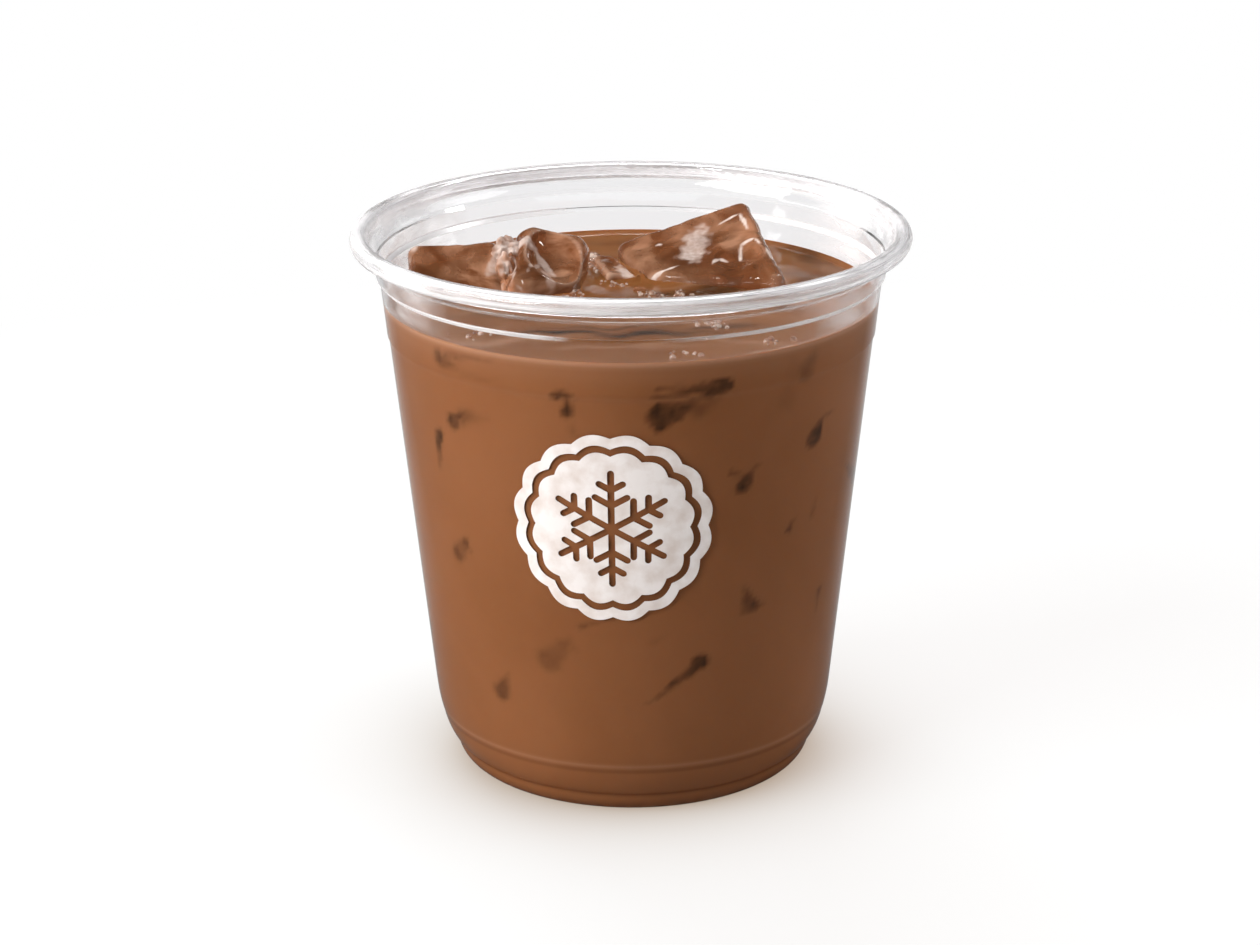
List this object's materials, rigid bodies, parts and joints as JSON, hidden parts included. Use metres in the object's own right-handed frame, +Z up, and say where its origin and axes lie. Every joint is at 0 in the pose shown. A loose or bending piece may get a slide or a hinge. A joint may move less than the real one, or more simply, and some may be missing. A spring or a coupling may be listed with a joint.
{
  "type": "iced chocolate in a clear cup",
  "caption": "Milky iced chocolate filling a clear tapered cold-drink cup with a rolled rim, with blocks of ice floating at the top.",
  "frame": {"origin": "on the floor at the centre of the cup's foot ring", "axes": "+Z up along the cup's axis, -Y towards the printed front, +X to the right seen from the front"},
  "size_m": [0.098, 0.098, 0.0976],
  "materials": {
    "clear_shell": "clear and glossy",
    "chocolate_drink": "milky cocoa brown, opaque with a wet gloss",
    "ice": "clear, wet, tinted by the drink around it",
    "print": "thin off-white print on the outside of the shell"
  },
  "bodies": {
    "root": {"cup": "clear_shell", "drink": "chocolate_drink", "ice_left": "ice", "ice_centre": "ice", "ice_right": "ice", "ice_chip": "ice"}
  },
  "joints": []
}
